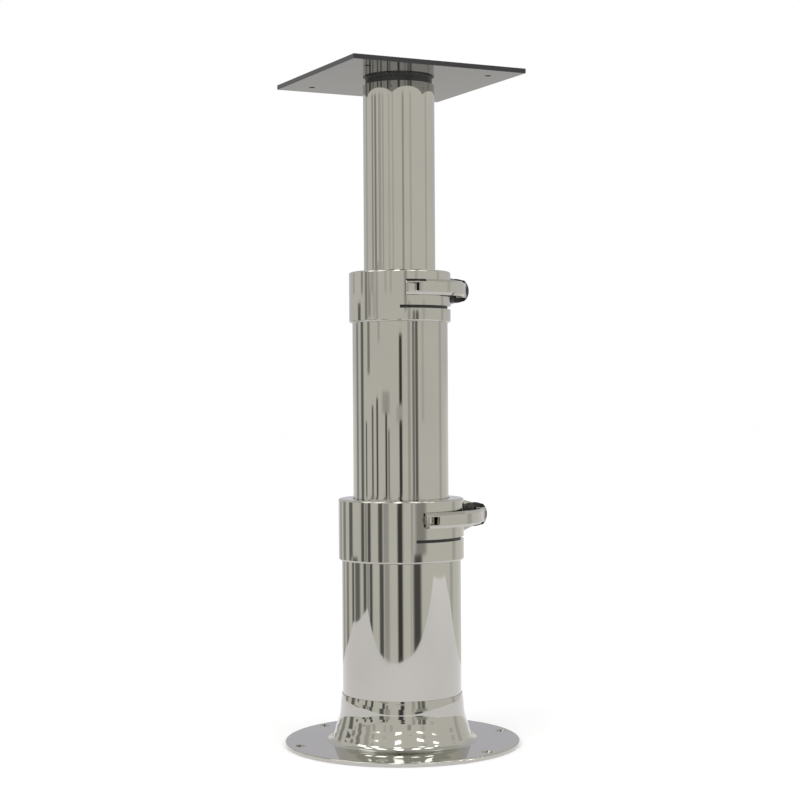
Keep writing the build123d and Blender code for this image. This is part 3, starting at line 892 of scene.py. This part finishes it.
@dataclass
class Clamp(SubAssembly):
    """Clamp collar with its stud, washers, nut, guide bush and cam lever.

    Lengths are metres and angles degrees. The lever's handle is a bar carried round
    an arc from the pin to its tip, which stands off the collar by a gap, at the tip
    angle round the collar from +X. The handle's true normals leave out what is nearer
    the pin than the cam's reach, and each face that looks along the arc by more than
    the most.
    """

    word: str = "lower"
    tip_angle: float = 0.0
    tip_gap: float = 0.0025
    bar_thickness: float = 0.0065
    cam_reach: float = 0.0135
    most_along: float = 0.2
    least_length: float = 0.001
    join_gap: float = 0.000002
    flat_angle: float = 0.4
    edge_angle: float = 32.0
    edge: float = 0.0004
    edge_steps: int = 2

    def __post_init__(self) -> None:
        """Names the clamp's pieces."""
        ends = ("collar", "collar_grub_screws", "clamp_stud", "saddle_washer",
                "nut_washer", "dome_nut", "guide_bush", "pivot_pin", "cam_lever")
        self.nodes = tuple(f"{self.word}_{end}" for end in ends)

    def joined(self, node: bpy.types.Object) -> bpy.types.Mesh:
        """Copies a CAD node's mesh, with its seams joined and its flats whole.

        Args:
            node: the CAD node, which is left alone.

        Returns:
            The copy.
        """
        shape = bmesh.new()
        shape.from_mesh(node.data)
        bmesh.ops.remove_doubles(shape, verts=shape.verts, dist=self.join_gap)
        bmesh.ops.dissolve_limit(shape, angle_limit=math.radians(self.flat_angle),
                                 verts=shape.verts, edges=shape.edges)
        mesh = bpy.data.meshes.new(f"{self.word}_buffed_lever")
        shape.to_mesh(mesh)
        shape.free()
        smooth(mesh)
        return mesh

    def lever(self) -> None:
        """Makes the cam lever with buffed edges: a joined copy, rounded by Bevel."""
        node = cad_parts[f"{self.word}_cam_lever"]
        lever = placed(f"{self.word}_buffed_lever", self.joined(node))
        bevel = lever.modifiers.new("buffed_edges", "BEVEL")
        bevel.width = self.edge
        bevel.segments = self.edge_steps
        bevel.limit_method = "ANGLE"
        bevel.angle_limit = math.radians(self.edge_angle)
        bevel.harden_normals = True
        bpy.context.view_layer.update()
        rounded = lever.evaluated_get(bpy.context.evaluated_depsgraph_get())
        lever.data = bpy.data.meshes.new_from_object(rounded)
        lever.modifiers.clear()
        self.true_normals(lever.data)
        self.fit(lever, f"{self.word}_lever", Finish.LEVER.slot)
        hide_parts(node.name)

    def pin(self) -> np.ndarray:
        """Axis of the pivot pin, seen from above."""
        low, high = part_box(f"{self.word}_pivot_pin")
        return (np.array(low[:2]) + np.array(high[:2])) / 2

    def arc_centre(self) -> np.ndarray:
        """Works out the centre of the handle's arc, seen from above.

        It is on the line from the collar's axis through the tip, and as far from the
        tip as from the pin.

        Returns:
            The centre.
        """
        angle = math.radians(self.tip_angle)
        toward = np.array([math.cos(angle), math.sin(angle)])
        collar_radius = -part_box(f"{self.word}_collar")[0][1]
        tip = collar_radius + self.tip_gap + self.bar_thickness / 2
        pin = self.pin()
        gap = pin - tip * toward
        radius = gap @ gap / (2 * (tip - pin @ toward))
        return (tip - radius) * toward

    def true_normals(self, mesh: bpy.types.Mesh) -> None:
        """Gives the handle the normals of a true arc, so that it mirrors evenly.

        A face of the handle keeps its normal's share away from the arc's centre and
        its share upwards. Each of its corners gets these shares in its own direction
        from the centre, and nothing along the arc.

        Args:
            mesh: the rounded lever's mesh.
        """
        corner = read(mesh.loops, "vertex_index", 1, np.int32)[:, 0]
        places = read(mesh.vertices, "co", 3)[corner]
        normals = read(mesh.corner_normals, "vector", 3)
        sizes = read(mesh.polygons, "loop_total", 1, np.int32)[:, 0]
        middles = np.repeat(read(mesh.polygons, "center", 3), sizes, axis=0)
        flats = np.repeat(read(mesh.polygons, "normal", 3), sizes, axis=0)
        centre = self.arc_centre()
        out = outward(middles, centre)
        across = (flats[:, :2] * out).sum(1)
        along = flats[:, 1] * out[:, 0] - flats[:, 0] * out[:, 1]
        from_pin = np.linalg.norm(middles[:, :2] - self.pin(), axis=1)
        true = np.concatenate([outward(places, centre) * across[:, None], flats[:, 2:]], 1)
        true /= np.maximum(np.linalg.norm(true, axis=1, keepdims=True), self.least_length)
        handle = (from_pin > self.cam_reach) & (np.abs(along) < self.most_along)
        mesh.normals_split_custom_set(np.where(handle[:, None], true, normals).tolist())

    def build(self) -> None:
        """Dresses the collar and its fittings, and makes the lever."""
        self.dress()
        self.lever()


@dataclass
class TopEnd(SubAssembly):
    """Square plate on the turned spigot, with its screws. Lengths are metres."""

    nodes: tuple[str, ...] = ("top_spigot", "spigot_grub_screws", "top_plate",
                              "plate_screws")
    neck_gap: float = 0.0002
    groove_pitch: float = 0.00115
    groove_depth: float = 0.00002
    skin: float = 0.00038
    steps_round: int = 240
    steps_up: int = 48

    def turned_neck(self) -> None:
        """Makes the tool marks on the neck, as a thin sleeve with a fine groove.

        The radius is the spigot's, less the depth times a cosine of the height in
        pitches plus the share of the turn, so that the groove winds up like a thread.
        The sleeve's inside is a skin below the spigot's surface.
        """
        low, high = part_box("top_spigot")
        neck_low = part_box("inner_tube")[1][2] + self.neck_gap
        neck_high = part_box("top_plate")[0][2] - self.neck_gap
        spigot_radius = (high[0] - low[0]) / 2
        share = np.linspace(0.0, 1.0, self.steps_round, endpoint=False)
        rise = np.linspace(neck_low, neck_high, self.steps_up)
        height, turn = np.meshgrid(rise, share, indexing="ij")
        winding = np.cos(2 * math.pi * (height / self.groove_pitch + turn))
        outside = spigot_radius - self.groove_depth * winding
        inside = np.full((2, self.steps_round), spigot_radius - self.skin)
        radius = np.concatenate([outside, inside])
        ends = np.broadcast_to(np.array([[neck_high], [neck_low]]), inside.shape)
        angle = 2 * math.pi * np.concatenate([turn, turn[:2]])
        points = np.stack([radius * np.cos(angle), radius * np.sin(angle),
                           np.concatenate([height, ends])], -1)
        neck = ring_piece("turned_neck", points)
        self.fit(neck, "inner_stage", Finish.SPIGOT.slot)

    def build(self) -> None:
        """Dresses the plate and the spigot, and makes the turned neck."""
        self.dress()
        self.turned_neck()


def main() -> None:
    """Builds the studio and then the pedestal from the floor up."""
    logging.basicConfig(level=logging.INFO)
    bpy.context.scene.view_settings.view_transform = "Standard"
    Studio().build()
    finishes = {finish.slot: finish.look.make() for finish in Finish}
    SubAssembly("foot", finishes, ("base_flange", "outer_tube")).build()
    Clamp("lower clamp", finishes, word="lower", tip_angle=-95.8).build()
    SubAssembly("middle tube", finishes,
                ("middle_tube", "middle_slide_ring", "middle_slide_ring_screws")).build()
    Clamp("upper clamp", finishes, word="upper", tip_angle=-110.5).build()
    SubAssembly("inner tube", finishes,
                ("inner_tube", "inner_slide_ring", "inner_slide_ring_screws")).build()
    TopEnd("top end", finishes).build()


if __name__ == "__main__":
    main()
